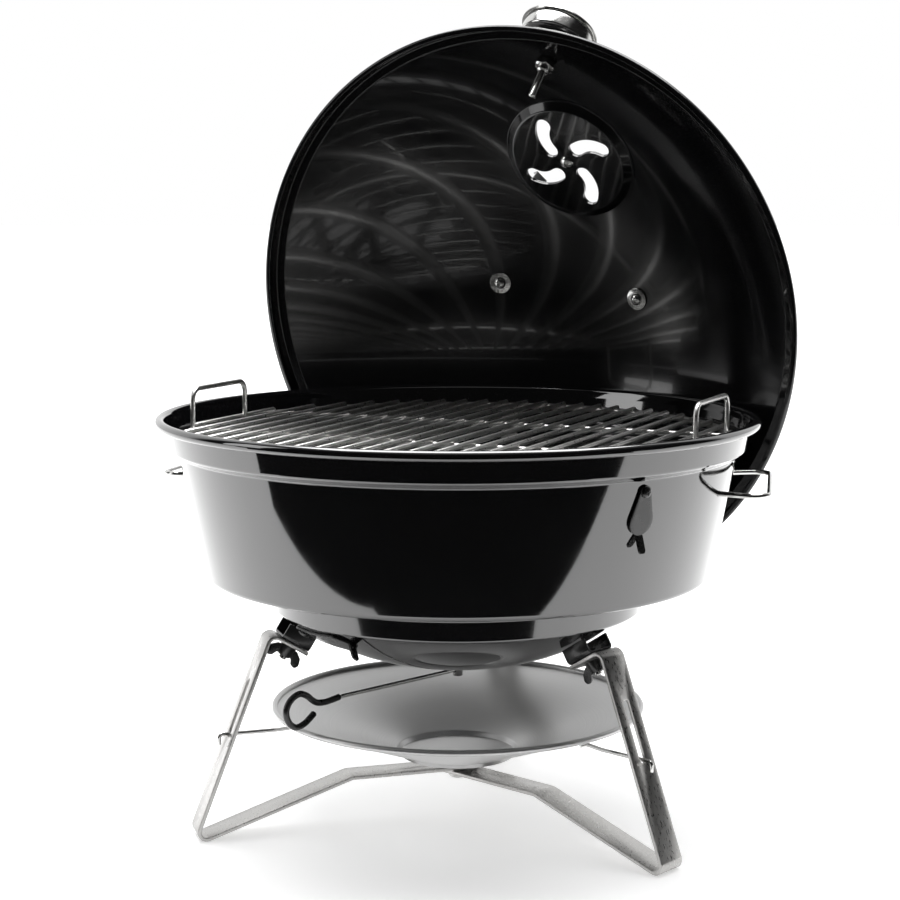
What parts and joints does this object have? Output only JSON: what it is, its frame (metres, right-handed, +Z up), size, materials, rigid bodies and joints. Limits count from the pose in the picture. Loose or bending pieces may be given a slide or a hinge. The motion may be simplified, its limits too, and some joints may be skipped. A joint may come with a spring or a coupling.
{
  "type": "portable kettle grill",
  "caption": "Portable charcoal kettle grill on strap legs: stepped enamel bowl, rod grates, ash pan, sweeper lever and a domed vented lid hung behind the bowl.",
  "frame": {"origin": "centre of the overall bounding box on the ground; the bowl's vertical axis stands 16.2 mm to -X and 25.2 mm to -Y of it", "axes": "+Z up, -Y towards the front, +X towards the right side handle; the lid hangs at the back and right"},
  "size_m": [0.5023, 0.5204, 0.6434],
  "materials": {
    "black_enamel": "high gloss porcelain enamel",
    "strap_steel": "satin stainless strap",
    "bright_plate": "bright nickel and zinc plate",
    "pan_aluminium": "spun satin aluminium",
    "black_steel": "semi-matte black coating",
    "vinyl": "smooth dipped vinyl",
    "nylon": "matte moulded",
    "rod_steel": "polished stainless rod",
    "dial": "white printed plate",
    "clear_glass": "clear",
    "needle": "red painted pointer"
  },
  "bodies": {
    "stand": {"leg_left": "strap_steel", "leg_right": "strap_steel", "leg_back": "strap_steel", "hub_bolt": "bright_plate", "hub_nut": "bright_plate", "leg_bracket_left": "black_steel", "leg_bracket_right": "black_steel", "leg_bracket_back": "black_steel", "leg_bolt_left": "bright_plate", "leg_bolt_right": "bright_plate", "leg_bolt_back": "bright_plate", "bowl_shell": "black_enamel", "side_handle_left": "bright_plate", "side_handle_right": "bright_plate", "grate_tab_left": "strap_steel", "grate_tab_right": "strap_steel", "grate_tab_back": "strap_steel", "port_screw": "bright_plate", "damper_screw": "bright_plate"},
    "wing_nut_left": {"wing_nut_left": "black_steel"},
    "wing_nut_right": {"wing_nut_right": "black_steel"},
    "wing_nut_back": {"wing_nut_back": "black_steel"},
    "port_cover": {"port_cover": "black_steel"},
    "ash_damper": {"ash_damper": "black_steel"},
    "sweeper": {"sweeper_shaft": "bright_plate", "sweeper_blades": "black_steel", "shaft_nut": "bright_plate", "lever_rod": "bright_plate", "lever_grip": "vinyl"},
    "ash_pan": {"ash_pan": "pan_aluminium", "pan_hanger_left": "bright_plate", "pan_hanger_right": "bright_plate", "pan_hanger_back": "bright_plate"},
    "charcoal_grate": {"charcoal_grate": "rod_steel"},
    "cooking_grate": {"cooking_grate": "rod_steel"},
    "lid": {"lid_shell": "black_enamel", "lid_handle": "nylon", "lid_screw_1": "bright_plate", "lid_screw_2": "bright_plate", "lid_washer_1": "bright_plate", "lid_washer_2": "bright_plate", "vent_rivet": "bright_plate", "thermometer_case": "bright_plate", "thermometer_nut": "bright_plate", "thermometer_dial": "dial", "thermometer_glass": "clear_glass", "thermometer_bezel": "bright_plate"},
    "lid_damper": {"lid_damper": "black_steel"},
    "thermometer_needle": {"thermometer_needle": "needle"}
  },
  "joints": [
    {"name": "wing_nut_left_spin", "type": "hinge", "parent": "stand", "child": "wing_nut_left", "pos_m": [-0.14856, -0.06638, 0.14335], "axis": [-0.5072, -0.1578, -0.8473], "continuous": true},
    {"name": "wing_nut_right_spin", "type": "hinge", "parent": "stand", "child": "wing_nut_right", "pos_m": [0.08564, -0.11925, 0.14335], "axis": [0.3902, -0.3603, -0.8473], "continuous": true},
    {"name": "wing_nut_back_spin", "type": "hinge", "parent": "stand", "child": "wing_nut_back", "pos_m": [0.01432, 0.11002, 0.14335], "axis": [0.117, 0.5181, -0.8473], "continuous": true},
    {"name": "port_cover_swing", "type": "hinge", "parent": "stand", "child": "port_cover", "pos_m": [0.1132, -0.19754, 0.2865], "axis": [0.5881, -0.7833, -0.2014], "range_deg": [-70, 70]},
    {"name": "ash_damper_swing", "type": "hinge", "parent": "stand", "child": "ash_damper", "pos_m": [-0.1322, -0.08818, 0.16286], "axis": [-0.4813, -0.2614, -0.8367], "range_deg": [-40, 0]},
    {"name": "sweeper_lever_swing", "type": "hinge", "parent": "stand", "child": "sweeper", "pos_m": [-0.0162, -0.0252, 0.12], "axis": [0, 0, 1], "range_deg": [-8, 80]},
    {"name": "ash_pan_lift", "type": "slide", "parent": "stand", "child": "ash_pan", "axis": [0, 0, 1], "range_m": [0, 0.008]},
    {"name": "charcoal_grate_lift", "type": "slide", "parent": "stand", "child": "charcoal_grate", "axis": [0, 0, 1], "range_m": [0, 0.095]},
    {"name": "cooking_grate_lift", "type": "slide", "parent": "charcoal_grate", "child": "cooking_grate", "axis": [0, 0, 1], "range_m": [0, 0.025]},
    {"name": "lid_off", "type": "slide", "parent": "stand", "child": "lid", "axis": [0.4364, 0.8776, 0.1985], "range_m": [0, 0.25]},
    {"name": "lid_damper_turn", "type": "hinge", "parent": "lid", "child": "lid_damper", "pos_m": [0.07763, 0.12695, 0.52054], "axis": [0.4351, 0.7024, 0.5633], "range_deg": [0, 45]},
    {"name": "thermometer_needle_turn", "type": "hinge", "parent": "lid", "child": "thermometer_needle", "pos_m": [0.06379, 0.07406, 0.61676], "axis": [0.3544, 0.4804, 0.8023], "range_deg": [-120, 120]}
  ]
}
